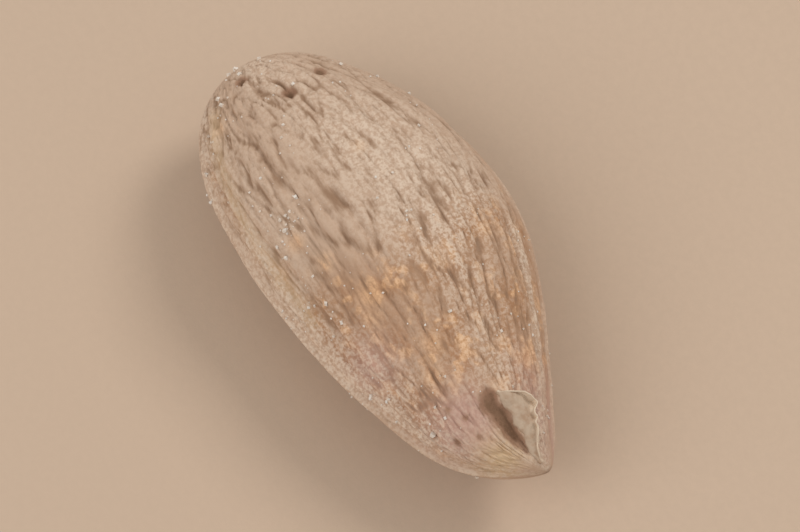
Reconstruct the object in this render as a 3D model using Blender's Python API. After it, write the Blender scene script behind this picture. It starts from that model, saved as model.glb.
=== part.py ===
"""One almond kernel in its brown skin, lying on a broad side.

The kernel is one body. A sphere with its poles at the two ends is drawn out by formulas for the outline, the
side profile and the bow of the kernel. Relief then moves the skin in or out along its own normal: lengthwise
furrows with rounded ridges between them, the seam that runs round the edge, the scar and three pits at the
round end, and the small tear and lip beside the point. The underside is flat where the kernel rests.

Lengths are in metres. +X runs from the round end to the point, +Y is the side with the rounder edge and +Z is
up. The origin is under the middle of the kernel, on the surface that it rests on.
"""

import math

import bmesh
import bpy
from mathutils import Matrix, Vector, noise

LENGTH = 0.0245
WIDTH = 0.0118
THICKNESS = 0.0084

# Where the mesh is divided: facets around the long axis, and from end to end
SEGMENTS = 136
RINGS = 45

# How fast the outline and the side profile close at the round end and at the point
OUTLINE_POWERS = (0.468, 0.672)
PROFILE_POWERS = (0.449, 0.625)
EDGE_SHARPNESS = 0.13
BELLY_SHARE = 0.95

# The middle bows to +Y, and the last of the point hooks to the same side
BOW = 0.060 * LENGTH
POINT_HOOK = 0.00198
HOOK_POWER = 15

# Broad unevenness of the whole kernel
SWELL_HEIGHT = 0.030 * THICKNESS
SWELL_SCALE = 2.6

# Lengthwise furrows. They wander a little from side to side, and each fades in and out along the kernel
FURROWS = 31
FURROW_DEPTH = 0.00016
FURROW_SHARPNESS = 2.0
FURROW_WANDER = 5.2
WANDER_ALONG = 3.0
WANDER_AROUND = 1.9
FADE_SHIFT = 7.0
FADE_ALONG = 8.0
FADE_AROUND = 4.2
FADE_RANGE = (-0.45, 0.35)
FADED_SHARE = 0.25
FURROW_ENDS = (0.015, 0.12, 0.72, 0.985)

# The seam at the edge: a low rib with a shallow channel along each side
RIB_HEIGHT = 0.00013
RIB_SPREAD = math.radians(6)
CHANNEL_DEPTH = 0.00010
CHANNEL_ANGLE = math.radians(17)
CHANNEL_SPREAD = math.radians(8)
SEAM_ENDS = (0.04, 0.25, 0.93, 0.99)

# The round scar at the blunt end, a little to the +Y side
SCAR_RADIUS = 0.0012
SCAR_DEPTH = 0.00012
SCAR_OFFSET = 0.0006

# Small pits in the upper side near the round end: station, angle, radius and depth
PITS = (
    (0.061, math.radians(110), 0.00042, 0.00016),
    (0.155, math.radians(93), 0.00044, 0.00018),
    (0.133, math.radians(67), 0.00040, 0.00014),
)

# The tear in the upper side beside the point, with its half width at both ends, and the lip along its +Y side
TEAR_START = Vector((0.0086, 0.0007))
TEAR_END = Vector((0.0113, 0.0014))
TEAR_WIDTHS = (0.00055, 0.00030)
TEAR_DEPTH = 0.00040
LIP_OFFSET = 0.00085
LIP_SPREAD = 0.00040
LIP_HEIGHT = 0.00018
TEAR_ENDS = (-0.15, 0.20, 0.75, 1.15)

# The flat spot underneath, and how far round it the skin stays smooth
FLAT_SINK = 0.00013
FLAT_CALM = 0.0030

SKIN_COLOUR = (0.50, 0.335, 0.225, 1.0)
SKIN_ROUGHNESS = 0.78


def smooth_step(value, low, high):
    """0 below low, 1 above high, and a soft rise between."""
    share = min(1.0, max(0.0, (value - low) / (high - low)))
    return share * share * (3.0 - 2.0 * share)


def plateau(value, ends):
    """1 between the two inner ends, 0 beyond the two outer ones, and soft slopes between."""
    return smooth_step(value, ends[0], ends[1]) * (1.0 - smooth_step(value, ends[2], ends[3]))


def bell(distance, spread):
    """1 in the middle, fading to nothing over a few spreads."""
    return math.exp(-((distance / spread) ** 2))


def taper(station, powers):
    """How full the kernel is at a station from 0, the round end, to 1, the point. It is 1 at the fullest."""
    blunt, sharp = powers
    fullest = blunt / (blunt + sharp)
    peak = fullest**blunt * (1.0 - fullest) ** sharp
    return station**blunt * (1.0 - station) ** sharp / peak


def smooth_point(station, angle):
    """A point of the kernel without its relief. The angle goes round the long axis, from 0 at the +Y edge."""
    half_width = 0.5 * WIDTH * taper(station, OUTLINE_POWERS)
    half_height = 0.5 * THICKNESS * taper(station, PROFILE_POWERS)
    rise = math.sin(angle)
    x = LENGTH * (station - 0.5)
    y = half_width * math.cos(angle)
    y += BOW * 4.0 * station * (1.0 - station) + POINT_HOOK * station**HOOK_POWER
    z = half_height * rise * abs(rise) ** EDGE_SHARPNESS
    return Vector((x, y, z if z > 0.0 else z * BELLY_SHARE))


def skin_noise(station, angle, along, around):
    """Smooth noise from -1 to 1 that meets itself where the angle closes."""
    return noise.noise(Vector((around * math.cos(angle), around * math.sin(angle), along * station)))


def furrow(station, angle):
    """The lengthwise furrows, from 0 on a ridge to 1 at the bottom of a furrow."""
    wander = FURROW_WANDER * skin_noise(station, angle, WANDER_ALONG, WANDER_AROUND)
    wave = 0.5 + 0.5 * math.cos(FURROWS * angle + wander)
    fade = smooth_step(skin_noise(station + FADE_SHIFT, angle, FADE_ALONG, FADE_AROUND), *FADE_RANGE)
    strength = FADED_SHARE + (1.0 - FADED_SHARE) * fade
    return wave**FURROW_SHARPNESS * strength * plateau(station, FURROW_ENDS)


def seam(station, angle):
    """The rib and channels along the edge, strongest towards the point."""
    from_edge = min(abs(angle), math.pi - abs(angle))
    rib = RIB_HEIGHT * bell(from_edge, RIB_SPREAD)
    channel = CHANNEL_DEPTH * bell(from_edge - CHANNEL_ANGLE, CHANNEL_SPREAD)
    return (rib - channel) * plateau(station, SEAM_ENDS)


def round_end_marks(place):
    """The dished scar at the round end, and the pits in the upper side near it."""
    if place.x > 0.0:
        return 0.0
    from_scar = math.hypot(place.y - SCAR_OFFSET, place.z)
    depth = SCAR_DEPTH * (1.0 - smooth_step(from_scar, 0.3 * SCAR_RADIUS, SCAR_RADIUS))
    for station, angle, radius, pit_depth in PITS:
        from_pit = (place - smooth_point(station, angle)).length
        depth += pit_depth * bell(from_pit, radius)
    return -depth


def tear(place):
    """The tear beside the point and the raised lip along it, both on the upper side."""
    if place.z < 0.0:
        return 0.0
    run = TEAR_END - TEAR_START
    offset = place.xy - TEAR_START
    along = offset.dot(run) / run.length_squared
    across = run.cross(offset) / run.length
    share = min(1.0, max(0.0, along))
    width = TEAR_WIDTHS[0] + share * (TEAR_WIDTHS[1] - TEAR_WIDTHS[0])
    lip = LIP_HEIGHT * bell(across - LIP_OFFSET, LIP_SPREAD)
    return plateau(along, TEAR_ENDS) * (lip - TEAR_DEPTH * bell(across, width))


def relief(place, station, angle, rest):
    """How far the skin stands out from the smooth kernel at a place."""
    swell = SWELL_HEIGHT * noise.noise(place * (SWELL_SCALE / WIDTH))
    calm = 1.0
    if place.z < 0.0:
        from_rest = math.hypot(place.x - rest.x, place.y - rest.y)
        calm = smooth_step(from_rest, 0.5 * FLAT_CALM, FLAT_CALM)
    skin = seam(station, angle) - FURROW_DEPTH * furrow(station, angle) + swell
    return skin * calm + round_end_marks(place) + tear(place)


def shape_kernel(body):
    """Draws the unit sphere out to the smooth kernel, then moves its skin by the relief."""
    stations = {}
    for vertex in body.verts:
        direction = vertex.co.normalized()
        stations[vertex] = (0.5 * (1.0 + direction.x), math.atan2(direction.z, direction.y))
        vertex.co = smooth_point(*stations[vertex])
    body.normal_update()
    rest = min((vertex.co for vertex in body.verts), key=lambda place: place.z).copy()
    moves = {vertex: relief(vertex.co, *stations[vertex], rest) for vertex in body.verts}
    for vertex, move in moves.items():
        vertex.co += vertex.normal * move


def flatten_underside(body):
    """Levels the lowest part of the skin to the flat spot that the kernel rests on."""
    level = min(vertex.co.z for vertex in body.verts) + FLAT_SINK
    for vertex in body.verts:
        vertex.co.z = max(vertex.co.z, level)


def set_on_origin(body):
    """Moves the kernel so that the origin is under the middle of its box."""
    lows = [min(vertex.co[axis] for vertex in body.verts) for axis in range(3)]
    highs = [max(vertex.co[axis] for vertex in body.verts) for axis in range(3)]
    middle = Vector(((lows[0] + highs[0]) / 2, (lows[1] + highs[1]) / 2, lows[2]))
    bmesh.ops.translate(body, verts=body.verts, vec=-middle)


def skin_material():
    """The dry brown skin with its pale bloom of salt."""
    material = bpy.data.materials.new("almond_skin")
    material.use_nodes = True
    shader = material.node_tree.nodes["Principled BSDF"]
    shader.inputs["Base Color"].default_value = SKIN_COLOUR
    shader.inputs["Roughness"].default_value = SKIN_ROUGHNESS
    shader.inputs["Metallic"].default_value = 0.0
    return material


def make_almond(collection):
    """The whole kernel, as one closed mesh."""
    body = bmesh.new()
    poles_on_x = Matrix.Rotation(math.pi / 2, 4, "Y")
    bmesh.ops.create_uvsphere(body, u_segments=SEGMENTS, v_segments=RINGS, radius=1.0, matrix=poles_on_x)
    shape_kernel(body)
    flatten_underside(body)
    set_on_origin(body)
    bmesh.ops.recalc_face_normals(body, faces=body.faces)
    mesh = bpy.data.meshes.new("almond")
    body.to_mesh(mesh)
    body.free()
    mesh.shade_smooth()
    mesh.materials.append(skin_material())
    almond = bpy.data.objects.new("almond", mesh)
    collection.objects.link(almond)
    return almond


def main():
    for old in list(bpy.data.objects):
        bpy.data.objects.remove(old)
    collection = bpy.data.collections.new("almond")
    bpy.context.scene.collection.children.link(collection)
    make_almond(collection)


main()
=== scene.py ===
"""Looks of one almond kernel, laid out as a Blender add-on and run as a script.

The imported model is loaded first, as a frame that never moves. The kernel's plain solid is replaced by a fine
skin of the same form, with wrinkles, pits and a torn place beside the point. A curled flap of skin and grains
of salt lie on it. A plain floor, soft lamps and a camera finish the scene.

Lengths are in metres. +X runs from the round end to the point, +Y is the side with the rounder edge and +Z
is up. Places on the skin are given by a station, from 0 at the round end to 1 at the point, and by an angle
round the long axis, from 0 at the +Y edge to 90 degrees on top.
"""

import math
import random
from collections import Counter

import bpy
import numpy as np
from mathutils import Euler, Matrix, Quaternion, Vector, bvhtree, noise


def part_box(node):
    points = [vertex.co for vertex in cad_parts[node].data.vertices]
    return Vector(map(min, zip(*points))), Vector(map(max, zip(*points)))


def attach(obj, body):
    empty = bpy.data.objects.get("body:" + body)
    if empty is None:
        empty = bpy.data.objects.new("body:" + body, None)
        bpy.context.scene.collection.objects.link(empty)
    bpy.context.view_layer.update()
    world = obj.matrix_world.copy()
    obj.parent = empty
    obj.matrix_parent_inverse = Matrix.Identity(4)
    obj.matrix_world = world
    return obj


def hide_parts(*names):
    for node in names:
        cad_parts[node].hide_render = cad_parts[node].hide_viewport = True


bl_info = {
    "name": "Almond kernel",
    "version": (1, 0, 0),
    "blender": (4, 5, 0),
    "location": "3D View > Sidebar > Almond",
    "description": "Builds the skin, torn flap and salt of an almond kernel, and a plain stage for it",
    "category": "Add Mesh",
}

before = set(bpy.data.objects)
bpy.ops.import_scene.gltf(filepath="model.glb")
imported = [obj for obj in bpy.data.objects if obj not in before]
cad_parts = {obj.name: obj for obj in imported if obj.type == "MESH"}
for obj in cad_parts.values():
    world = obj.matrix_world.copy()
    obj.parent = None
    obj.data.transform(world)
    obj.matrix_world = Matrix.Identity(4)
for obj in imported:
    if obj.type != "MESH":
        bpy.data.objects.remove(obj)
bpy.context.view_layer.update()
KERNEL_LOW, KERNEL_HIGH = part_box("almond")

# The smooth form before its relief, as the frame's solid has it
LENGTH = 0.0245
WIDTH = 0.0118
THICKNESS = 0.0084
OUTLINE_POWERS = (0.468, 0.672)
PROFILE_POWERS = (0.449, 0.625)
EDGE_SHARPNESS = 0.13
BELLY_SHARE = 0.95
BOW = 0.060 * LENGTH
POINT_HOOK = 0.00198
HOOK_POWER = 15
FLAT_SINK = 0.00013
FLAT_CALM = 0.0030

# Broad unevenness, and the lengthwise furrows
SWELL_HEIGHT = 0.030 * THICKNESS
SWELL_SCALE = 2.6
FURROWS = 31
FURROW_SHARPNESS = 2.0
FURROW_WANDER = 5.2
WANDER_ALONG = 3.0
WANDER_AROUND = 1.9
FADE_SHIFT = 7.0
FADE_ALONG = 8.0
FADE_AROUND = 4.2
FADE_RANGE = (-0.45, 0.35)
FADED_SHARE = 0.25
FURROW_ENDS = (0.015, 0.12, 0.72, 0.985)

# Turns the noise, so that none of the planes where it is even lies along the skin
NOISE_TURN = np.array(Euler((0.5, 0.6, 0.7)).to_matrix())

# For the slope of the noise: how far apart it is read, and the least slope that counts
SLOPE_STEP = 0.02
LEAST_SLOPE = 0.35

# Three kinds of groove: cells of noise along and round the kernel, its shift, and the half width in cells
WRINKLES = (6.5, 9.6, 17.3, 0.080)
STROKES = (8.0, 5.5, 91.0, 0.085)
CREASES = (15.0, 21.4, 43.7, 0.085)
GROOVE_ENDS = (0.0, 0.05, 0.94, 1.0)

# How far the grooves swerve, in radians, and the cells of the noise that swerves them and varies their width
GROOVE_WARP = 0.10
WARP_CELLS = (7.0, 3.5)
WIDTH_CELLS = (9.0, 4.0)

# The strokes are broken up along the kernel where this noise is low
BROKEN_CELLS = (18.0, 7.0, 97.0)
BROKEN_RANGE = (-0.15, 0.25)

# How much the furrows, strokes, wrinkles and creases darken the skin as painted shade in the grooves, and the
# noise that varies it
VALLEY_SHADE_SHARES = (0.22, 0.40, 0.42, 0.32)
STRENGTH_CELLS = (4.0, 2.4, 71.0)

# Cells of the noise that varies the colours, along and round the kernel, and its shift
PATCH_CELLS = (5.0, 2.2, 31.0)
BLOOM_CELLS = (3.0, 1.6, 57.0)

# How close the streaks of the skin lie, along and round the kernel
STREAK_CELLS = (15.6, 16.9)

# Stations between which the skin is warm, and between which it is pinkish
WARM_BAND = (0.46, 0.64, 0.82, 0.93)
BLUSH_BAND = (0.74, 0.88, 0.98, 1.0)

# The seam at the edge: a low rib with a shallow channel along each side
RIB_HEIGHT = 0.00013
RIB_SPREAD = math.radians(6)
CHANNEL_DEPTH = 0.00010
CHANNEL_ANGLE = math.radians(17)
CHANNEL_SPREAD = math.radians(8)
SEAM_ENDS = (0.04, 0.25, 0.93, 0.99)

# The rim is pale and smooth there, and the channel beside it is warm
PALE_RIM_SPREAD = math.radians(7)
WARM_RIM_SPREAD = math.radians(5)
SMOOTH_RIM_SPREAD = math.radians(8)

# The dished scar at the round end, and the pits near it: station, angle in degrees, radius and depth
SCAR_RADIUS = 0.0012
SCAR_DEPTH = 0.00012
SCAR_OFFSET = 0.0006
PITS = (
    (0.061, 110, 0.00026, 0.00026),
    (0.155, 93, 0.00027, 0.00028),
    (0.133, 67, 0.00024, 0.00020),
)

# Single creases in the half with the round end: stations and angles in degrees
CREASE_LINES = (
    ((0.115, 103), (0.151, 103), (0.185, 101), (0.185, 94), (0.175, 85), (0.175, 77), (0.203, 76)),
    ((0.309, 94), (0.325, 97), (0.345, 98), (0.363, 97)),
    ((0.345, 88), (0.371, 88), (0.393, 89)),
    ((0.301, 109), (0.333, 110), (0.369, 110), (0.407, 110)),
    ((0.275, 100), (0.303, 102)),
    ((0.261, 80), (0.305, 79), (0.341, 79)),
    ((0.287, 135), (0.335, 135)),
)
CREASE_WIDTH = 0.00016

# Pale strips of skin inside both edges, and a golden one beside the round end, written in the same way
PALE_LINES = (
    ((0.579, 29), (0.715, 29), (0.853, 32), (0.905, 39), (0.955, 58)),
    ((0.333, 159), (0.443, 162), (0.547, 166), (0.649, 167), (0.759, 165), (0.861, 160)),
)
GOLDEN_LINES = (((0.087, 145), (0.151, 151), (0.237, 153), (0.333, 156), (0.443, 159), (0.547, 160)),)
STRIP_WIDTH = 0.00045

# The tear beside the point: where it starts and ends on the upper side, and its half widths there
TEAR_START = (0.0086, 0.0007)
TEAR_END = (0.0113, 0.0014)
TEAR_WIDTHS = (0.00074, 0.00028)
TEAR_DEPTH = 0.00040
TEAR_ENDS = (-0.15, 0.20, 0.75, 1.15)
TEAR_RAGGED_SCALE = 1600.0
LIP_OFFSET = 0.00085
LIP_SPREAD = 0.00040
LIP_HEIGHT = 0.00018

# The torn flap on the +Y side of the tear: its root runs between these places
FLAP_START = (0.0087, 0.00125)
FLAP_END = (0.0119, 0.00165)
FLAP_ROWS = 56
FLAP_COLUMNS = 20
FLAP_FLAT_SHARE = 0.52
FLAP_CLEARANCE = 0.00003
FLAP_SINK = 0.00006

# Shares of the root between which the flap widens and narrows, and its least width
FLAP_SLOPES = (-0.02, 0.24, 0.30, 1.15)
FLAP_LEAST_WIDTH = 0.04

# Spots of colour: station, angle in degrees and radius
# Warm brown spots. Those on the +Y side, at angles under 90 degrees, also darken that side as painted shade
WARM_AND_SHADE_SPOTS = (
    (0.567, 143, 0.0016),
    (0.729, 110, 0.0019),
    (0.640, 118, 0.0013),
    (0.567, 49, 0.0014),
    (0.689, 64, 0.0014),
    (0.700, 36, 0.0016),
    (0.800, 60, 0.0013),
    (0.449, 157, 0.0007),
)
# Peach flecks painted as highlights on the ridges, written in the same way
HIGHLIGHT_FLECK_SPOTS = (
    (0.449, 157, 0.00045),
    (0.593, 121, 0.00050),
    (0.489, 130, 0.00040),
    (0.631, 127, 0.00045),
    (0.781, 117, 0.00045),
    (0.729, 106, 0.00050),
    (0.571, 53, 0.00045),
    (0.793, 142, 0.00035),
    (0.577, 26, 0.00035),
    (0.421, 136, 0.00040),
    (0.119, 143, 0.00050),
    (0.327, 85, 0.00030),
    (0.851, 79, 0.00040),
)
BLUSH_SPOTS = (
    (0.879, 112, 0.0014),
    (0.693, 146, 0.0014),
)
TIP_SPOTS = ((0.953, 127, 0.0012),)

# Small sunk specks near the point, on the -Y side, written in the same way. They are darkened with painted
# shade
SPECK_DEPTH = 0.00006
SPECKS = (
    (0.857, 150, 0.00020),
    (0.891, 138, 0.00022),
    (0.907, 118, 0.00018),
    (0.809, 133, 0.00022),
    (0.841, 122, 0.00018),
    (0.869, 115, 0.00018),
)

# Where the bloom of salt is thickest, written in the same way. The first place also has a heap of grains
SALT_SPOTS = (
    (0.389, 133, 0.0005),
    (0.300, 88, 0.0018),
    (0.470, 60, 0.0016),
)
SALT_HEAP = 24

# No grain is drawn lower than this, nor where the skin faces down more than this
LOWEST_SALT = 0.0018
LEAST_FACING = -0.2

# Grains: noise that gathers them, spread and limit of their size, and their unevenness and height in sides
SALT_CLOUDS = 420.0
SALT_SPREAD = (-0.40, 0.50)
SALT_LARGEST = 2.0
SALT_JITTER = 0.18
SALT_RISE = 0.15

# Cells of the materials' noise in a metre, and the heights of the finest relief
CLOUD_SCALE = 420.0
HIGHLIGHT_FLECK_SCALE = 1100.0
POWDER_SCALE = 5200.0
PORE_SCALE = 9000.0
PORE_HEIGHT = 0.000018
STREAK_HEIGHT = 0.00006

# The stage: lamps are given to the right of the camera, away from it and up
FLOOR_RADIUS = 3.0
KEY_PLACE = (0.30, 0.20, 0.40)
KEY_SIZE = 0.20
FILL_PLACE = (-0.40, -0.25, 0.45)
FILL_SIZE = 0.50
WARM_WHITE = (1.0, 0.965, 0.92)
SOFT_WHITE = (1.0, 0.98, 0.96)
NEAREST_SEEN = 0.01


def smooth_step(value, low, high):
    """0 below low, 1 above high, and a soft rise between."""
    share = np.clip((value - low) / (high - low), 0.0, 1.0)
    return share * share * (3.0 - 2.0 * share)


def plateau(value, ends):
    """1 between the two inner ends, 0 beyond the two outer ones, and soft slopes between."""
    return smooth_step(value, ends[0], ends[1]) * (1.0 - smooth_step(value, ends[2], ends[3]))


def bell(distance, spread):
    """1 in the middle, fading to nothing over a few spreads."""
    return np.exp(-((distance / spread) ** 2))


def taper(station, powers):
    """How full the kernel is at a station. It is 1 at the fullest."""
    blunt, sharp = powers
    fullest = blunt / (blunt + sharp)
    peak = fullest**blunt * (1.0 - fullest) ** sharp
    return station**blunt * (1.0 - station) ** sharp / peak


def smooth_places(station, angle):
    """Places on the kernel without its relief."""
    half_width = 0.5 * WIDTH * taper(station, OUTLINE_POWERS)
    half_height = 0.5 * THICKNESS * taper(station, PROFILE_POWERS)
    rise = np.sin(angle)
    x = LENGTH * (station - 0.5)
    aside = BOW * 4.0 * station * (1.0 - station) + POINT_HOOK * station**HOOK_POWER
    y = half_width * np.cos(angle) + aside
    z = half_height * rise * np.abs(rise) ** EDGE_SHARPNESS
    return np.stack((x, y, np.where(z > 0.0, z, z * BELLY_SHARE)), axis=-1)


def noise_at(places):
    """Smooth noise from about -1 to 1, one value for each place."""
    return np.array([noise.noise(place) for place in places.tolist()])


def along_skin(station, angle, along, around, shift=0.0):
    """Coordinates that run with the skin and meet themselves where the angle closes."""
    return np.stack((around * np.cos(angle), around * np.sin(angle), along * station + shift), axis=-1)


def skin_noise(station, angle, along, around, shift=0.0):
    """Noise that runs with the skin."""
    return noise_at(along_skin(station, angle, along, around, shift))


def from_edge(angle):
    """The angle to the nearer edge of the kernel."""
    return np.minimum(np.abs(angle), math.pi - np.abs(angle))


def furrow(station, angle):
    """The lengthwise furrows, from 0 on a ridge to 1 at the bottom of a furrow."""
    wander = FURROW_WANDER * skin_noise(station, angle, WANDER_ALONG, WANDER_AROUND)
    wave = 0.5 + 0.5 * np.cos(FURROWS * angle + wander)
    fade = smooth_step(skin_noise(station + FADE_SHIFT, angle, FADE_ALONG, FADE_AROUND), *FADE_RANGE)
    strength = FADED_SHARE + (1.0 - FADED_SHARE) * fade
    return wave**FURROW_SHARPNESS * strength * plateau(station, FURROW_ENDS)


def girth(station):
    """How wide the skin's pattern is drawn at a station, so that it doesn't pinch at the two ends."""
    return 0.35 + 0.65 * np.sqrt(4.0 * station * (1.0 - station))


def grooves(station, angle, along, around, shift, width):
    """Thin wandering grooves that split and meet, from 0 on the ridges to 1 at the bottom of a groove.

    They run where a field of noise passes through zero. The field is divided by its slope, which keeps their
    width even.
    """
    warp = GROOVE_WARP * skin_noise(station, angle, *WARP_CELLS, shift + 3.0)
    places = along_skin(station, angle + warp, along, around * girth(station), shift) @ NOISE_TURN
    field = noise_at(places)
    slopes = [(noise_at(places + step) - field) / SLOPE_STEP for step in SLOPE_STEP * np.eye(3)]
    steepness = np.maximum(np.linalg.norm(slopes, axis=0), LEAST_SLOPE)
    width = width * (1.0 + 0.5 * skin_noise(station, angle, *WIDTH_CELLS, shift + 5.0))
    return bell(field / steepness, width)


def skin_place(station, degrees):
    """One place on the kernel without its relief."""
    return smooth_places(np.array(station), np.array(math.radians(degrees)))


def spot_share(places, spots):
    """1 in the middle of each spot, fading to 0 round it."""
    share = np.zeros(len(places))
    for station, degrees, radius in spots:
        middle = skin_place(station, degrees)
        share = np.maximum(share, bell(np.linalg.norm(places - middle, axis=1), radius))
    return share


def line_share(places, lines, width):
    """1 along each line, fading to 0 beside it. The lines' corners are stations and angles in degrees."""
    share = np.zeros(len(places))
    for line in lines:
        corners = [skin_place(station, degrees) for station, degrees in line]
        for start, end in zip(corners, corners[1:]):
            run = end - start
            along = np.clip((places - start) @ run / (run @ run), 0.0, 1.0)
            beside = np.linalg.norm(places - start - along[:, None] * run, axis=1)
            share = np.maximum(share, bell(beside, width))
    return share


def tear_share(places):
    """How deep each place lies in the tear, and how high on the lip along it, both from 0 to 1."""
    start = np.array(TEAR_START)
    run = np.array(TEAR_END) - start
    reach = float(np.hypot(*run))
    run = run / reach
    offset = places[:, :2] - start
    along = offset @ run / reach
    across = offset[:, 1] * run[0] - offset[:, 0] * run[1]
    ragged = noise_at(places * TEAR_RAGGED_SCALE)
    width = np.interp(along, (0.0, 1.0), TEAR_WIDTHS) * (1.0 + 0.6 * ragged)
    # The wall on the +Y side is steep, and the other one slopes
    wall = 1.0 - smooth_step(np.abs(across) / width, np.where(across > 0.0, 0.55, 0.1), 1.1)
    above = places[:, 2] > 0.0
    ends = plateau(along + 0.08 * ragged, TEAR_ENDS) * above
    return wall * ends, bell(across - LIP_OFFSET, LIP_SPREAD) * ends


def pit_share(places):
    """How deep each place lies in a pit near the round end, and the depth in metres."""
    share = np.zeros(len(places))
    depth = np.zeros(len(places))
    for station, degrees, radius, pit_depth in PITS:
        middle = skin_place(station, degrees)
        near = bell(np.linalg.norm(places - middle, axis=1), radius)
        share = np.maximum(share, near)
        depth += pit_depth * near
    return share, depth


def scar_depth(places):
    """The dished scar at the round end."""
    from_scar = np.hypot(places[:, 1] - SCAR_OFFSET, places[:, 2])
    dish = SCAR_DEPTH * (1.0 - smooth_step(from_scar, 0.3 * SCAR_RADIUS, SCAR_RADIUS))
    return np.where(places[:, 0] < 0.0, dish, 0.0)


class SkinSettings(bpy.types.PropertyGroup):
    """What a user may change on the kernel's skin."""

    segments: bpy.props.IntProperty(
        name="Segments", description="Facets round the long axis", default=420, min=24, max=440
    )
    rings: bpy.props.IntProperty(
        name="Rings", description="Facets from the round end to the point", default=228, min=12, max=228
    )
    furrow_depth: bpy.props.FloatProperty(
        name="Furrow depth", description="Depth of the long furrows", default=0.00016,
        unit="LENGTH", precision=6
    )
    wrinkle_depth: bpy.props.FloatProperty(
        name="Wrinkle depth", description="Depth of the short wrinkles", default=0.00009,
        unit="LENGTH", precision=6
    )
    crease_depth: bpy.props.FloatProperty(
        name="Crease depth", description="Depth of the finest creases", default=0.000045,
        unit="LENGTH", precision=6
    )
    ridge_colour: bpy.props.FloatVectorProperty(
        name="Ridges", description="Colour of the dry ridges", subtype="COLOR", default=(0.56, 0.395, 0.285)
    )
    # The valley colour is painted shade in the grooves
    valley_shade_colour: bpy.props.FloatVectorProperty(
        name="Valleys", description="Colour between the ridges", subtype="COLOR", default=(0.32, 0.195, 0.12)
    )
    warm_colour: bpy.props.FloatVectorProperty(
        name="Warm patch", description="Orange brown of the patch in the half with the point",
        subtype="COLOR", default=(0.42, 0.225, 0.12)
    )
    # The flecks are painted highlights where the ridges catch the light
    fleck_highlight_colour: bpy.props.FloatVectorProperty(
        name="Flecks", description="Peach flecks on the ridges of the warm patch", subtype="COLOR",
        default=(0.88, 0.53, 0.28)
    )
    blush_colour: bpy.props.FloatVectorProperty(
        name="Blush", description="Pinkish brown near the point", subtype="COLOR", default=(0.53, 0.325, 0.27)
    )
    tip_colour: bpy.props.FloatVectorProperty(
        name="Tip", description="Yellowish tan of the very point", subtype="COLOR", default=(0.66, 0.47, 0.28)
    )
    bloom_colour: bpy.props.FloatVectorProperty(
        name="Bloom", description="Pale dust of salt on the ridges", subtype="COLOR",
        default=(0.79, 0.645, 0.515)
    )
    # The hollow colour is painted shade in the pits, the tear and the sunk specks
    hollow_shade_colour: bpy.props.FloatVectorProperty(
        name="Hollows", description="Dark brown of the pits and the tear", subtype="COLOR",
        default=(0.235, 0.135, 0.08)
    )
    # The slope colour is painted shade round the pits and the tear, with a reddish tone
    slope_shade_colour: bpy.props.FloatVectorProperty(
        name="Hollow slopes", description="Reddish brown round the pits and the tear", subtype="COLOR",
        default=(0.34, 0.19, 0.12)
    )
    roughness: bpy.props.FloatProperty(
        name="Roughness", description="Roughness of the dry skin", default=0.82,
        min=0.0, max=1.0, subtype="FACTOR"
    )


class FlapSettings(bpy.types.PropertyGroup):
    """What a user may change on the torn flap of skin."""

    reach: bpy.props.FloatProperty(
        name="Reach", description="Widest part of the flap, from its root to its free edge", default=0.00150,
        unit="LENGTH", precision=5
    )
    roll: bpy.props.FloatProperty(
        name="Roll", description="How far the free edge rolls up by the point", default=math.radians(150),
        subtype="ANGLE"
    )
    thickness: bpy.props.FloatProperty(
        name="Thickness", description="Thickness of the skin", default=0.00006, unit="LENGTH", precision=6
    )
    colour: bpy.props.FloatVectorProperty(
        name="Flap", description="Colour of the torn skin", subtype="COLOR", default=(0.55, 0.425, 0.315)
    )
    # The paler free edge is a painted highlight where the rolled edge catches the light
    free_edge_highlight_colour: bpy.props.FloatVectorProperty(
        name="Free edge", description="Paler colour of the dry rolled edge", subtype="COLOR",
        default=(0.74, 0.60, 0.46)
    )


class SaltSettings(bpy.types.PropertyGroup):
    """What a user may change on the grains of salt."""

    count: bpy.props.IntProperty(
        name="Grains", description="Number of grains of salt on the skin", default=320, min=1, max=4000
    )
    size: bpy.props.FloatProperty(
        name="Grain size", description="Side of a usual grain", default=0.00009, unit="LENGTH", precision=6
    )
    seed: bpy.props.IntProperty(name="Seed", description="Start of the random draw", default=7)
    colour: bpy.props.FloatVectorProperty(
        name="Salt", description="Colour of the salt", subtype="COLOR", default=(0.80, 0.76, 0.71)
    )


class StageSettings(bpy.types.PropertyGroup):
    """What a user may change on the floor, the lamps and the camera."""

    floor_colour: bpy.props.FloatVectorProperty(
        name="Floor", description="Colour of the plain floor", subtype="COLOR", default=(0.61, 0.465, 0.35)
    )
    key_power: bpy.props.FloatProperty(
        name="Key lamp", description="Power of the main lamp", default=1.0, unit="POWER"
    )
    fill_power: bpy.props.FloatProperty(
        name="Fill lamp", description="Power of the lamp that fills the shadows", default=1.58, unit="POWER"
    )
    sky_strength: bpy.props.FloatProperty(
        name="Room light", description="Strength of the even light of the room", default=0.485
    )
    azimuth: bpy.props.FloatProperty(
        name="Azimuth", description="Direction that the camera looks from", default=math.radians(60.4),
        subtype="ANGLE"
    )
    elevation: bpy.props.FloatProperty(
        name="Elevation", description="Height of the camera above the horizon", default=math.radians(62),
        subtype="ANGLE"
    )
    distance: bpy.props.FloatProperty(
        name="Distance", description="From the camera to the kernel", default=0.180, unit="LENGTH"
    )
    lens: bpy.props.FloatProperty(
        name="Lens", description="Focal length of the camera, in millimetres", default=180.0
    )


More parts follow.
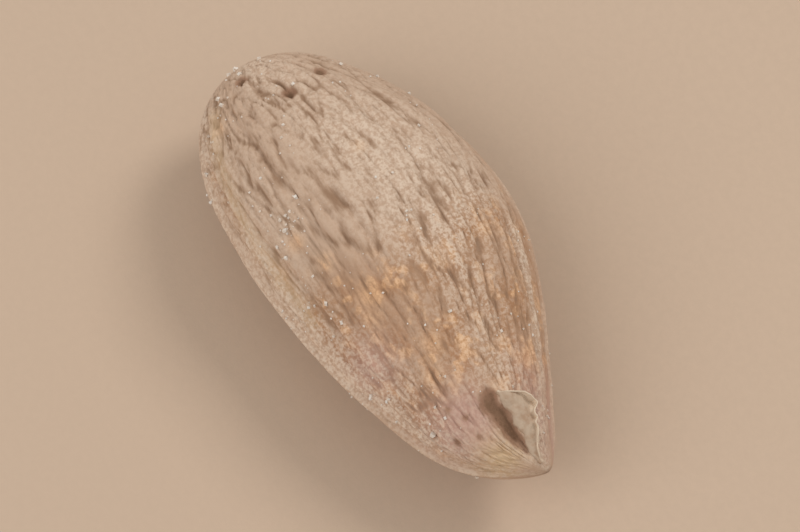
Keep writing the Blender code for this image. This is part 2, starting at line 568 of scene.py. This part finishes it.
class Finish:
    """A material whose nodes are added and joined one after another."""

    def __init__(self, name):
        self.material = bpy.data.materials.new(name)
        self.material.use_nodes = True
        self.tree = self.material.node_tree
        self.shader = self.tree.nodes["Principled BSDF"]

    def node(self, kind, inputs, **values):
        """A new node. Its inputs are given by socket, and its other values by name."""
        made = self.tree.nodes.new(kind)
        for name, value in values.items():
            setattr(made, name, value)
        for socket, value in inputs.items():
            if isinstance(value, bpy.types.NodeSocket):
                self.tree.links.new(value, made.inputs[socket])
            else:
                made.inputs[socket].default_value = value
        return made

    def attribute(self, name):
        """A value that the mesh carries at each place."""
        return self.node("ShaderNodeAttribute", {}, attribute_name=name).outputs["Fac"]

    def flow(self):
        """Coordinates that run with the skin."""
        return self.node("ShaderNodeAttribute", {}, attribute_name="flow").outputs["Vector"]

    def place(self):
        """Coordinates of the object, in metres."""
        return self.node("ShaderNodeTexCoord", {}).outputs["Object"]

    def grain(self, coordinates, scale, detail=3.0, roughness=0.55):
        """Cloudy noise from 0 to 1."""
        inputs = {"Vector": coordinates, "Scale": scale, "Detail": detail, "Roughness": roughness}
        return self.node("ShaderNodeTexNoise", inputs).outputs["Fac"]

    def stretch(self, coordinates, scale):
        """The coordinates with each axis scaled."""
        return self.node("ShaderNodeMapping", {"Vector": coordinates, "Scale": scale}).outputs["Vector"]

    def span(self, value, low, high, start=0.0, end=1.0):
        """Maps low to start and high to end, with a soft rise between."""
        inputs = {"Value": value, "From Min": low, "From Max": high, "To Min": start, "To Max": end}
        return self.node("ShaderNodeMapRange", inputs, interpolation_type="SMOOTHSTEP").outputs["Result"]

    def maths(self, operation, first, second):
        """One sum on two values."""
        return self.node("ShaderNodeMath", {0: first, 1: second}, operation=operation).outputs[0]

    def mix(self, share, first, second):
        """first where share is 0, and second where it is 1."""
        inputs = {"Factor": share, 6: rgba(first), 7: rgba(second)}
        return self.node("ShaderNodeMix", inputs, data_type="RGBA").outputs[2]

    def bump(self, height, distance, normal=None):
        """Small relief that the mesh is too coarse for."""
        inputs = {"Height": height, "Distance": distance}
        if normal is not None:
            inputs["Normal"] = normal
        return self.node("ShaderNodeBump", inputs).outputs["Normal"]

    def surface(self, **inputs):
        """Sets or joins sockets of the shader, with underscores for the spaces in their names."""
        for name, value in inputs.items():
            socket = self.shader.inputs[name.replace("_", " ")]
            if isinstance(value, bpy.types.NodeSocket):
                self.tree.links.new(value, socket)
            else:
                socket.default_value = value
        return self.material


def rgba(colour):
    """A colour as a socket takes it. A linked colour is passed through."""
    if isinstance(colour, bpy.types.NodeSocket):
        return colour
    return (*colour[:3], 1.0)


def skin_finish(settings):
    """Dry brown skin: pale dusty ridges, valleys and hollows darkened with painted shade, a warm patch that is
    partly painted shade on the +Y side, and peach flecks painted as highlights on its ridges.
    """
    finish = Finish("almond_skin")
    flow = finish.flow()
    place = finish.place()
    streaks = finish.grain(flow, 1.0, 4.0, 0.6)
    clouds = finish.grain(place, CLOUD_SCALE, 3.0)
    powder = finish.grain(place, POWDER_SCALE, 4.0, 0.7)
    # Painted shade: the skin darkens towards the valley colour by the depth of the grooves, with streaky tone
    # on top
    groove_shade = finish.attribute("groove_shade")
    depth = finish.maths("ADD", groove_shade, finish.span(streaks, 0.30, 0.70, 0.26, -0.26))
    skin = finish.mix(finish.span(depth, 0.05, 0.95), settings.ridge_colour, settings.valley_shade_colour)
    # Warm patch of orange brown, partly painted shade on the +Y side
    warmth_and_shade = finish.maths("MULTIPLY", finish.attribute("warmth_and_shade"), finish.span(clouds, 0.36, 0.60, 0.55, 1.0))
    warm = finish.mix(finish.span(depth, 0.2, 1.1), settings.warm_colour, settings.valley_shade_colour)
    skin = finish.mix(warmth_and_shade, skin, warm)
    # Painted highlight: peach flecks on the ridges of the warm patch, fading out in the valleys
    highlight_flecks = finish.maths("MULTIPLY", finish.span(finish.grain(place, HIGHLIGHT_FLECK_SCALE, 2.0), 0.52, 0.62), warmth_and_shade)
    highlight_flecks = finish.maths("MAXIMUM", highlight_flecks, finish.attribute("highlight_fleck"))
    highlight_flecks = finish.maths("MULTIPLY", highlight_flecks, finish.span(powder, 0.36, 0.60, 0.35, 1.0))
    highlight_flecks = finish.maths("MULTIPLY", highlight_flecks, finish.span(streaks, 0.34, 0.56, 0.4, 1.0))
    highlight_flecks = finish.maths("MULTIPLY", highlight_flecks, finish.span(depth, 0.0, 0.8, 0.9, 0.2))
    skin = finish.mix(highlight_flecks, skin, settings.fleck_highlight_colour)
    skin = finish.mix(finish.attribute("blush"), skin, settings.blush_colour)
    skin = finish.mix(finish.attribute("tip"), skin, settings.tip_colour)
    dust = finish.maths("MULTIPLY", finish.attribute("bloom"), finish.span(powder, 0.38, 0.62))
    dust = finish.maths("MULTIPLY", dust, finish.span(depth, 0.0, 0.75, 0.85, 0.08))
    skin = finish.mix(dust, skin, settings.bloom_colour)
    grainy = finish.span(powder, 0.25, 0.75, -0.16, 0.16)
    # Painted shade in the pits, the tear and the specks: reddish brown on their slopes and dark brown deeper
    # in
    hollow_shade = finish.maths("ADD", finish.attribute("hollow_shade"), grainy)
    skin = finish.mix(finish.span(hollow_shade, 0.04, 0.42, 0.0, 0.85), skin, settings.slope_shade_colour)
    skin = finish.mix(finish.span(hollow_shade, 0.45, 0.90), skin, settings.hollow_shade_colour)
    fine = finish.bump(finish.grain(place, PORE_SCALE, 3.0, 0.65), PORE_HEIGHT)
    relief = finish.bump(streaks, STREAK_HEIGHT, fine)
    roughness = finish.span(depth, 0.0, 1.0, settings.roughness, settings.roughness - 0.12)
    return finish.surface(Base_Color=skin, Roughness=roughness, Normal=relief, Specular_IOR_Level=0.28)


def flap_finish(settings):
    """Torn skin, paler and thinner than the rest."""
    finish = Finish("torn_skin")
    clouds = finish.grain(finish.place(), 1500.0, 3.0)
    fibres = finish.grain(finish.stretch(finish.place(), (0.3, 1.0, 1.0)), 9000.0, 3.0)
    brown = [channel * shade for channel, shade in zip(settings.colour, (0.72, 0.56, 0.46))]
    skin = finish.mix(finish.span(clouds, 0.40, 0.66, 0.0, 0.75), settings.colour, brown)
    # Painted highlight: paler towards the rolled free edge
    skin = finish.mix(finish.attribute("free_edge_highlight"), skin, settings.free_edge_highlight_colour)
    return finish.surface(Base_Color=skin, Roughness=0.8, Normal=finish.bump(fibres, 0.00004))


def salt_finish(settings):
    """Whitish salt with a dull shine."""
    finish = Finish("salt")
    clouds = finish.grain(finish.place(), 6000.0, 2.0)
    warm = [channel * shade for channel, shade in zip(settings.colour, (0.92, 0.84, 0.76))]
    salt = finish.mix(finish.span(clouds, 0.35, 0.65), settings.colour, warm)
    return finish.surface(Base_Color=salt, Roughness=0.42, Normal=finish.bump(clouds, 0.00001))


def floor_finish(settings):
    """Plain matt paper with a faint grain."""
    finish = Finish("floor_paper")
    fibres = finish.grain(finish.place(), 2400.0, 4.0, 0.7)
    clouds = finish.grain(finish.place(), 9.0, 2.0)
    darker = [0.965 * channel for channel in settings.floor_colour]
    paper = finish.mix(finish.span(fibres, 0.3, 0.7), settings.floor_colour, darker)
    paper = finish.mix(finish.span(clouds, 0.3, 0.7, 0.0, 0.5), paper, darker)
    return finish.surface(Base_Color=paper, Roughness=0.9, Normal=finish.bump(fibres, 0.00001))


def read_vectors(data, name):
    """One row of three numbers for each item of a mesh's data."""
    flat = np.empty(3 * len(data), dtype=np.float32)
    data.foreach_get(name, flat)
    return flat.reshape(-1, 3).astype(float)


def write_places(mesh, places):
    """Moves the mesh's vertices to the places."""
    mesh.vertices.foreach_set("co", places.astype(np.float32).ravel())
    mesh.update()


def carry(mesh, name, values):
    """Stores a value at each vertex, for the material to read."""
    kind, field = ("FLOAT", "value") if values.ndim == 1 else ("FLOAT_VECTOR", "vector")
    attribute = mesh.attributes.new(name, kind, "POINT")
    attribute.data.foreach_set(field, values.astype(np.float32).ravel())


def fit_to_frame(places):
    """Brings the skin's box onto the box of the frame's solid."""
    low, high = places.min(axis=0), places.max(axis=0)
    frame_low, frame_high = np.array(KERNEL_LOW), np.array(KERNEL_HIGH)
    return frame_low + (places - low) / (high - low) * (frame_high - frame_low)


def skin_grid(segments, rings):
    """Stations, angles and faces of a closed grid that comes together at the two ends of the kernel."""
    turns = np.linspace(-math.pi, math.pi, segments, endpoint=False)
    stations = 0.5 * (1.0 - np.cos(math.pi * np.arange(1, rings) / rings))
    station = np.concatenate(([0.0], np.repeat(stations, segments), [1.0]))
    angle = np.concatenate(([0.0], np.tile(turns, rings - 1), [0.0]))
    last = len(station) - 1
    faces = []
    for here in range(segments):
        after = (here + 1) % segments
        faces.append((0, 1 + after, 1 + here))
        faces.append((last, last - segments + here, last - segments + after))
        for ring in range(rings - 2):
            first = 1 + ring * segments
            faces.append((first + here, first + after, first + segments + after, first + segments + here))
    return station, angle, faces


def colour_values(station, angle, places, valley_shade, hollow_shade):
    """What the skin's material reads at each vertex."""
    edge = from_edge(angle)
    rim = bell(edge, PALE_RIM_SPREAD) * plateau(station, SEAM_ENDS)
    rim_line = bell(edge - CHANNEL_ANGLE, WARM_RIM_SPREAD) * plateau(station, SEAM_ENDS)
    patches = skin_noise(station, angle, *PATCH_CELLS)
    warmth_and_shade = plateau(station, WARM_BAND) * (0.80 + 0.8 * patches)
    # The warm spots on the +Y side are partly painted shade
    warmth_and_shade += 0.8 * spot_share(places, WARM_AND_SHADE_SPOTS) + 0.5 * rim_line
    blush = plateau(station, BLUSH_BAND) * (0.25 + 0.6 * patches) + 0.7 * spot_share(places, BLUSH_SPOTS)
    bloom = 0.5 + 0.8 * skin_noise(station, angle, *BLOOM_CELLS) + 0.6 * spot_share(places, SALT_SPOTS)
    pale = line_share(places, PALE_LINES, STRIP_WIDTH)
    golden = line_share(places, GOLDEN_LINES, STRIP_WIDTH)
    return {
        # Painted shade in the grooves, less on the rim and the pale strips
        "groove_shade": np.clip(valley_shade * (1.0 - 0.8 * rim) * (1.0 - 0.45 * pale), 0.0, 1.0),
        "warmth_and_shade": np.clip(warmth_and_shade * (1.0 - rim) * (1.0 - 0.8 * pale), 0.0, 1.0),
        "blush": np.clip(blush * (1.0 - rim), 0.0, 0.8),
        "tip": np.clip(0.9 * spot_share(places, TIP_SPOTS) + 0.45 * golden, 0.0, 1.0),
        "bloom": np.clip(bloom + 0.5 * rim + 0.7 * pale, 0.0, 1.0),
        # The pits, the tear and the sunk specks are darkened with painted shade
        "hollow_shade": np.clip(np.maximum(hollow_shade, 0.42 * spot_share(places, SPECKS)), 0.0, 1.0),
        # Painted highlights on the ridges, weaker in the grooves
        "highlight_fleck": spot_share(places, HIGHLIGHT_FLECK_SPOTS) * (1.0 - 0.5 * valley_shade),
    }


def make_skin(settings):
    """The fine skin of the kernel, in the form and the box of the frame's solid."""
    station, angle, faces = skin_grid(settings.segments, settings.rings)
    places = smooth = smooth_places(station, angle)
    mesh = bpy.data.meshes.new("kernel_skin")
    mesh.from_pydata(places.tolist(), [], faces)
    outward = read_vectors(mesh.vertex_normals, "vector")

    rest = places[places[:, 2].argmin()]
    from_rest = np.hypot(places[:, 0] - rest[0], places[:, 1] - rest[1])
    calm = np.where(places[:, 2] < 0.0, smooth_step(from_rest, 0.5 * FLAT_CALM, FLAT_CALM), 1.0)
    edge = from_edge(angle)
    seam = RIB_HEIGHT * bell(edge, RIB_SPREAD) - CHANNEL_DEPTH * bell(edge - CHANNEL_ANGLE, CHANNEL_SPREAD)
    swell = SWELL_HEIGHT * noise_at(places * (SWELL_SCALE / WIDTH))
    long_furrows = furrow(station, angle)
    pit, pit_depth = pit_share(places)
    tear, lip = tear_share(places)
    form = (seam * plateau(station, SEAM_ENDS) - settings.furrow_depth * long_furrows + swell) * calm
    specks = spot_share(places, SPECKS)
    form += LIP_HEIGHT * lip - scar_depth(places) - pit_depth - TEAR_DEPTH * tear - SPECK_DEPTH * specks

    ends = plateau(station, GROOVE_ENDS)
    wrinkles = grooves(station, angle, *WRINKLES) * ends
    broken = smooth_step(skin_noise(station, angle, *BROKEN_CELLS), *BROKEN_RANGE)
    strokes = grooves(station, angle, *STROKES) * broken * ends
    strokes = np.maximum(strokes, line_share(smooth, CREASE_LINES, CREASE_WIDTH))
    creases = grooves(station, angle, *CREASES) * ends
    fine = settings.wrinkle_depth * np.maximum(wrinkles, strokes) + settings.crease_depth * creases
    fine *= calm * (1.0 - 0.75 * bell(edge, SMOOTH_RIM_SPREAD)) * (1.0 - tear)

    level = (places + outward * form[:, None])[:, 2].min() + FLAT_SINK
    places = places + outward * (form - fine)[:, None]
    places[:, 2] = np.maximum(places[:, 2], level)
    write_places(mesh, fit_to_frame(places))

    # How much the grooves are darkened with painted shade
    strength = 0.90 + 0.5 * skin_noise(station, angle, *STRENGTH_CELLS)
    darkened = zip(VALLEY_SHADE_SHARES, (long_furrows, strokes, wrinkles, creases))
    valley_shade = strength * sum(share * depth for share, depth in darkened)
    # How far the pits and the tear are darkened with painted shade
    hollow_shade = np.maximum(1.25 * pit, 0.85 * tear)
    for name, values in colour_values(station, angle, smooth, valley_shade, hollow_shade).items():
        carry(mesh, name, values)
    flow = along_skin(station, angle, STREAK_CELLS[0], STREAK_CELLS[1] * girth(station))
    carry(mesh, "flow", flow @ NOISE_TURN)
    mesh.shade_smooth()
    mesh.materials.append(skin_finish(settings))
    return link(bpy.data.objects.new("kernel_skin", mesh))


def frame_shift():
    """How far the frame's solid is moved from the smooth form, in the plane of the floor."""
    stations = np.linspace(0.0, 1.0, 400)
    highest = smooth_places(stations, np.zeros(400))[:, 1].max()
    lowest = smooth_places(stations, np.full(400, math.pi))[:, 1].min()
    middle = 0.5 * (KERNEL_LOW + KERNEL_HIGH)
    return Vector((middle.x, middle.y - 0.5 * (lowest + highest), 0.0))


def link(piece):
    """Puts a new object into the scene."""
    bpy.context.scene.collection.objects.link(piece)
    return piece


def made_skin():
    """The skin that the other pieces lie on."""
    skin = bpy.data.objects.get("kernel_skin")
    if skin is None:
        raise RuntimeError("build the skin of the kernel first")
    return skin


def ripple(height, *place):
    """A smooth unevenness of up to about the height."""
    return height * noise.noise(place)


def rolled_profile(width, roll, out):
    """How far aside and how high a sheet is at a share of its width. It lies flat first, then rolls up."""
    flat = FLAP_FLAT_SHARE * width
    curled = max(0.0, out - FLAP_FLAT_SHARE) * width
    radius = (width - flat) / roll
    bend = curled / radius
    return min(out * width, flat) + radius * math.sin(bend), radius * (1.0 - math.cos(bend))


def rolled_sheet(ground, start, end, reach, roll):
    """Places of a thin ragged sheet that follows the skin below a straight root. Its free edge rolls up."""
    run = (end - start).normalized()
    across = Vector((-run.y, run.x, 0.0))
    down = Vector((0.0, 0.0, -1.0))
    grid = (FLAP_ROWS + 1, FLAP_COLUMNS + 1)
    feet = np.empty((*grid, 3))
    lifts = np.empty(grid)
    normals = np.empty((*grid, 3))
    for row in range(FLAP_ROWS + 1):
        step = row / FLAP_ROWS
        ragged = 1.0 + ripple(0.35, 7.0 * step, 3.3, 0.4) + ripple(0.10, 13.0 * step, 5.3, 0.4)
        width = reach * ragged * max(FLAP_LEAST_WIDTH, plateau(step, FLAP_SLOPES))
        # The root isn't quite straight
        fray = ripple(0.00018, 4.3 * step, 1.7, 6.1) + ripple(0.00007, 14.0 * step, 4.1, 2.6)
        for column in range(FLAP_COLUMNS + 1):
            out = column / FLAP_COLUMNS
            aside, lifts[row, column] = rolled_profile(width, roll * (0.6 + 0.4 * step), out)
            wave = ripple(0.00010, 6.0 * step, 2.5 * out, 8.3) * out
            lifts[row, column] += wave + FLAP_CLEARANCE
            hit, normal, _, _ = ground.ray_cast(start.lerp(end, step) + across * (aside + fray), down)
            feet[row, column] = hit
            normals[row, column] = normal
    # The sheet bridges the grooves under it
    level = even_out(feet[:, :, 2], 6)
    feet[:, :, 2] = even_out(np.maximum(level, feet[:, :, 2]), 2)
    outward = normals.mean(axis=(0, 1))
    places = feet + lifts[:, :, None] * outward / np.linalg.norm(outward)
    places[:, 0] -= FLAP_SINK * outward
    return places.reshape(-1, 3)


def even_out(heights, times):
    """A grid of heights, each moved to the mean of its neighbours a number of times."""
    for _ in range(times):
        padded = np.pad(heights, 1, mode="edge")
        sides = padded[:-2, 1:-1] + padded[2:, 1:-1] + padded[1:-1, :-2] + padded[1:-1, 2:]
        heights = 0.5 * heights + 0.125 * sides
    return heights


def grid_faces(rows, columns):
    """Faces of a grid whose vertices run row by row."""
    faces = []
    for row in range(rows):
        for column in range(columns):
            corner = row * (columns + 1) + column
            faces.append((corner, corner + 1, corner + columns + 2, corner + columns + 1))
    return faces


def sheet_mesh(name, places, faces, thickness):
    """A mesh of the sheet, given its thickness: a second face under it, and a strip round the border."""
    sheet = bpy.data.meshes.new(name)
    sheet.from_pydata(places.tolist(), [], faces)
    under = places - thickness * read_vectors(sheet.vertex_normals, "vector")
    sides = Counter(frozenset(pair) for face in faces for pair in zip(face, face[1:] + face[:1]))
    count = len(places)
    whole = list(faces) + [tuple(number + count for number in reversed(face)) for face in faces]
    for face in faces:
        for first, second in zip(face, face[1:] + face[:1]):
            if sides[frozenset((first, second))] == 1:
                whole.append((second, first, first + count, second + count))
    sheet.clear_geometry()
    sheet.from_pydata([*places.tolist(), *under.tolist()], [], whole)
    sheet.shade_smooth()
    return sheet


def make_flap(settings, skin):
    """A thin flap of skin, peeled back from the +Y side of the tear. Its free edge rolls up."""
    ground = bvhtree.BVHTree.FromObject(skin, bpy.context.evaluated_depsgraph_get())
    over = frame_shift() + Vector((0.0, 0.0, 2.0 * KERNEL_HIGH.z))
    start, end = (Vector((*corner, 0.0)) + over for corner in (FLAP_START, FLAP_END))
    places = rolled_sheet(ground, start, end, settings.reach, settings.roll)
    faces = grid_faces(FLAP_ROWS, FLAP_COLUMNS)
    mesh = sheet_mesh("torn_flap", places, faces, settings.thickness)
    # How far each place lies towards the free edge, for its painted highlight
    from_root = np.tile(np.linspace(0.0, 1.0, FLAP_COLUMNS + 1), 2 * (FLAP_ROWS + 1))
    carry(mesh, "free_edge_highlight", smooth_step(from_root, 0.45, 0.90))
    mesh.materials.append(flap_finish(settings))
    return link(bpy.data.objects.new("torn_flap", mesh))


def salt_places(settings, draw, places, outward):
    """Numbers of the skin's vertices that carry a grain: a small heap first, then the scattered ones."""
    upper = np.flatnonzero((places[:, 2] > LOWEST_SALT) & (outward[:, 2] > LEAST_FACING))
    station, degrees, radius = SALT_SPOTS[0]
    heap = skin_place(station, degrees) + np.array(frame_shift())
    from_heap = np.hypot(*(places[upper] - heap)[:, :2].T)
    # The mesh is finer towards the two ends, so each vertex there stands for less of the skin
    from_axis = np.hypot(places[upper, 1], places[upper, 2] - 0.5 * KERNEL_HIGH.z)
    chances = np.clip(noise_at(places[upper] * SALT_CLOUDS) + 0.25, 0.0, 0.75) * from_axis**2
    heaped = draw.choices(upper.tolist(), bell(from_heap, radius).tolist(), k=SALT_HEAP)
    return heaped + draw.choices(upper.tolist(), chances.tolist(), k=settings.count)


def make_salt(settings, skin):
    """Crushed grains of salt, half sunk in the skin and denser in a few places."""
    draw = random.Random(settings.seed)
    places = read_vectors(skin.data.vertices, "co")
    outward = read_vectors(skin.data.vertex_normals, "vector")
    corners = [Vector((x, y, z)) for x in (-0.5, 0.5) for y in (-0.5, 0.5) for z in (-0.5, 0.5)]
    faces = ((0, 1, 3, 2), (4, 6, 7, 5), (0, 4, 5, 1), (2, 3, 7, 6), (0, 2, 6, 4), (1, 5, 7, 3))
    verts = []
    quads = []
    for index in salt_places(settings, draw, places, outward):
        side = settings.size * min(SALT_LARGEST, draw.lognormvariate(*SALT_SPREAD))
        turn = Quaternion([draw.gauss(0.0, 1.0) for _ in range(4)]).normalized()
        middle = Vector(places[index]) + Vector(outward[index]) * SALT_RISE * side
        start = len(verts)
        for corner in corners:
            jitter = Vector([draw.uniform(-SALT_JITTER, SALT_JITTER) for _ in range(3)])
            verts.append(middle + turn @ ((corner + jitter) * side))
        quads.extend(tuple(start + number for number in face) for face in faces)
    grains = bpy.data.meshes.new("salt_grains")
    grains.from_pydata(verts, [], quads)
    grains.validate()
    grains.materials.append(salt_finish(settings))
    return link(bpy.data.objects.new("salt_grains", grains))


def add_lamp(name, place, size, power, colour):
    """A soft square lamp that points at the kernel."""
    data = bpy.data.lights.new(name, "AREA")
    data.size = size
    data.energy = power
    data.color = colour
    lamp = link(bpy.data.objects.new(name, data))
    lamp.location = place
    lamp.rotation_euler = (-Vector(place)).to_track_quat("-Z", "Y").to_euler()
    return lamp


def seen_from(azimuth, right, away, up):
    """A place given to the right of the camera, away from it and upward."""
    x = right * math.cos(azimuth) - away * math.sin(azimuth)
    y = right * math.sin(azimuth) + away * math.cos(azimuth)
    return Vector((x, y, up))


def make_floor(settings):
    """A wide plain floor under the kernel."""
    bpy.ops.mesh.primitive_circle_add(vertices=96, radius=FLOOR_RADIUS, fill_type="NGON")
    floor = bpy.context.object
    floor.name = "floor"
    floor.data.materials.append(floor_finish(settings))
    return floor


def make_lights(settings):
    """A soft key from the upper right, a wide fill from the left and the even light of the room."""
    key_place = seen_from(settings.azimuth, *KEY_PLACE)
    add_lamp("key", key_place, KEY_SIZE, settings.key_power, WARM_WHITE)
    fill_place = seen_from(settings.azimuth, *FILL_PLACE)
    add_lamp("fill", fill_place, FILL_SIZE, settings.fill_power, SOFT_WHITE)
    world = bpy.data.worlds.new("room")
    bpy.context.scene.world = world
    world.use_nodes = True
    background = world.node_tree.nodes["Background"]
    background.inputs["Color"].default_value = rgba(WARM_WHITE)
    background.inputs["Strength"].default_value = settings.sky_strength
    bpy.context.scene.view_settings.view_transform = "Standard"


def make_camera(settings):
    """A long lens that looks down on the kernel."""
    data = bpy.data.cameras.new("camera")
    data.lens = settings.lens
    data.clip_start = NEAREST_SEEN
    camera = link(bpy.data.objects.new("camera", data))
    elevation = settings.elevation
    aim = Vector((0.0, 0.0, 0.45 * KERNEL_HIGH.z))
    back = seen_from(settings.azimuth, 0.0, -math.cos(elevation), math.sin(elevation))
    camera.location = aim + settings.distance * back
    camera.rotation_euler = (-back).to_track_quat("-Z", "Y").to_euler()
    bpy.context.scene.camera = camera
    return camera


class ALMOND_OT_build_skin(bpy.types.Operator):
    """Build the wrinkled skin of the kernel"""

    bl_idname = "almond.build_skin"
    bl_label = "Build skin"

    def execute(self, context):
        skin = make_skin(context.scene.almond_skin)
        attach(skin, "root")
        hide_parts("almond")
        return {"FINISHED"}


class ALMOND_OT_build_flap(bpy.types.Operator):
    """Build the torn flap beside the point"""

    bl_idname = "almond.build_flap"
    bl_label = "Build torn flap"

    def execute(self, context):
        flap = make_flap(context.scene.almond_flap, made_skin())
        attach(flap, "root")
        return {"FINISHED"}


class ALMOND_OT_build_salt(bpy.types.Operator):
    """Scatter grains of salt on the skin"""

    bl_idname = "almond.build_salt"
    bl_label = "Build salt"

    def execute(self, context):
        salt = make_salt(context.scene.almond_salt, made_skin())
        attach(salt, "root")
        return {"FINISHED"}


class ALMOND_OT_build_stage(bpy.types.Operator):
    """Build the floor, the lamps and the camera"""

    bl_idname = "almond.build_stage"
    bl_label = "Build stage"

    def execute(self, context):
        settings = context.scene.almond_stage
        make_floor(settings)
        make_lights(settings)
        make_camera(settings)
        return {"FINISHED"}


class ALMOND_PT_panel(bpy.types.Panel):
    """The almond's settings and builders"""

    bl_label = "Almond kernel"
    bl_idname = "ALMOND_PT_panel"
    bl_space_type = "VIEW_3D"
    bl_region_type = "UI"
    bl_category = "Almond"

    def draw(self, context):
        for group, operator in BUILDERS:
            box = self.layout.box()
            settings = getattr(context.scene, group)
            for name in settings.__annotations__:
                box.prop(settings, name)
            box.operator(operator)


GROUPS = {
    "almond_skin": SkinSettings,
    "almond_flap": FlapSettings,
    "almond_salt": SaltSettings,
    "almond_stage": StageSettings,
}
BUILDERS = (
    ("almond_skin", "almond.build_skin"),
    ("almond_flap", "almond.build_flap"),
    ("almond_salt", "almond.build_salt"),
    ("almond_stage", "almond.build_stage"),
)
CLASSES = (
    *GROUPS.values(),
    ALMOND_OT_build_skin,
    ALMOND_OT_build_flap,
    ALMOND_OT_build_salt,
    ALMOND_OT_build_stage,
    ALMOND_PT_panel,
)


def register():
    for made_class in CLASSES:
        bpy.utils.register_class(made_class)
    for name, group in GROUPS.items():
        setattr(bpy.types.Scene, name, bpy.props.PointerProperty(type=group))


def unregister():
    for name in GROUPS:
        delattr(bpy.types.Scene, name)
    for made_class in reversed(CLASSES):
        bpy.utils.unregister_class(made_class)


def main():
    register()
    bpy.ops.almond.build_skin()
    bpy.ops.almond.build_flap()
    bpy.ops.almond.build_salt()
    bpy.ops.almond.build_stage()


if __name__ == "__main__":
    main()
